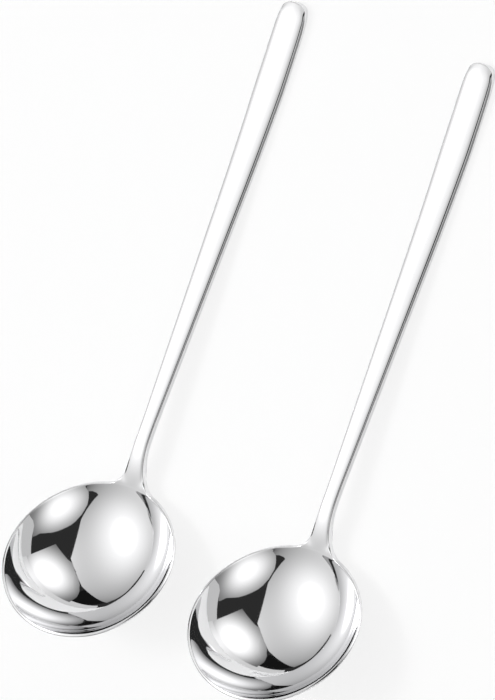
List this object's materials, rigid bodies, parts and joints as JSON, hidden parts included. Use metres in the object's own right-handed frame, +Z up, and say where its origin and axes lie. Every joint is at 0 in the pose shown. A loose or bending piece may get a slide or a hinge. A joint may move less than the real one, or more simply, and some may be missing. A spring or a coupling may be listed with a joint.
{
  "type": "serving spoon pair",
  "caption": "Matching serving spoons lying side by side, each with a deep round bowl, a slim flared neck and a long tapered handle with a rounded end, in mirror-polished steel.",
  "frame": {"origin": "middle of the pair's box, on the surface that the spoons lie on", "axes": "+X along the handles from bowl to end, +Y from the right spoon to the left one, +Z up"},
  "size_m": [0.2024, 0.1196, 0.0289],
  "materials": {
    "polished_steel": "mirror-polished stainless steel"
  },
  "bodies": {
    "left_spoon": {"left_spoon": "polished_steel"},
    "right_spoon": {"right_spoon": "polished_steel"}
  },
  "joints": [
    {"name": "right_spoon_lift", "type": "slide", "parent": "left_spoon", "child": "right_spoon", "axis": [0, 0, 1], "range_m": [0, 0.12]}
  ]
}
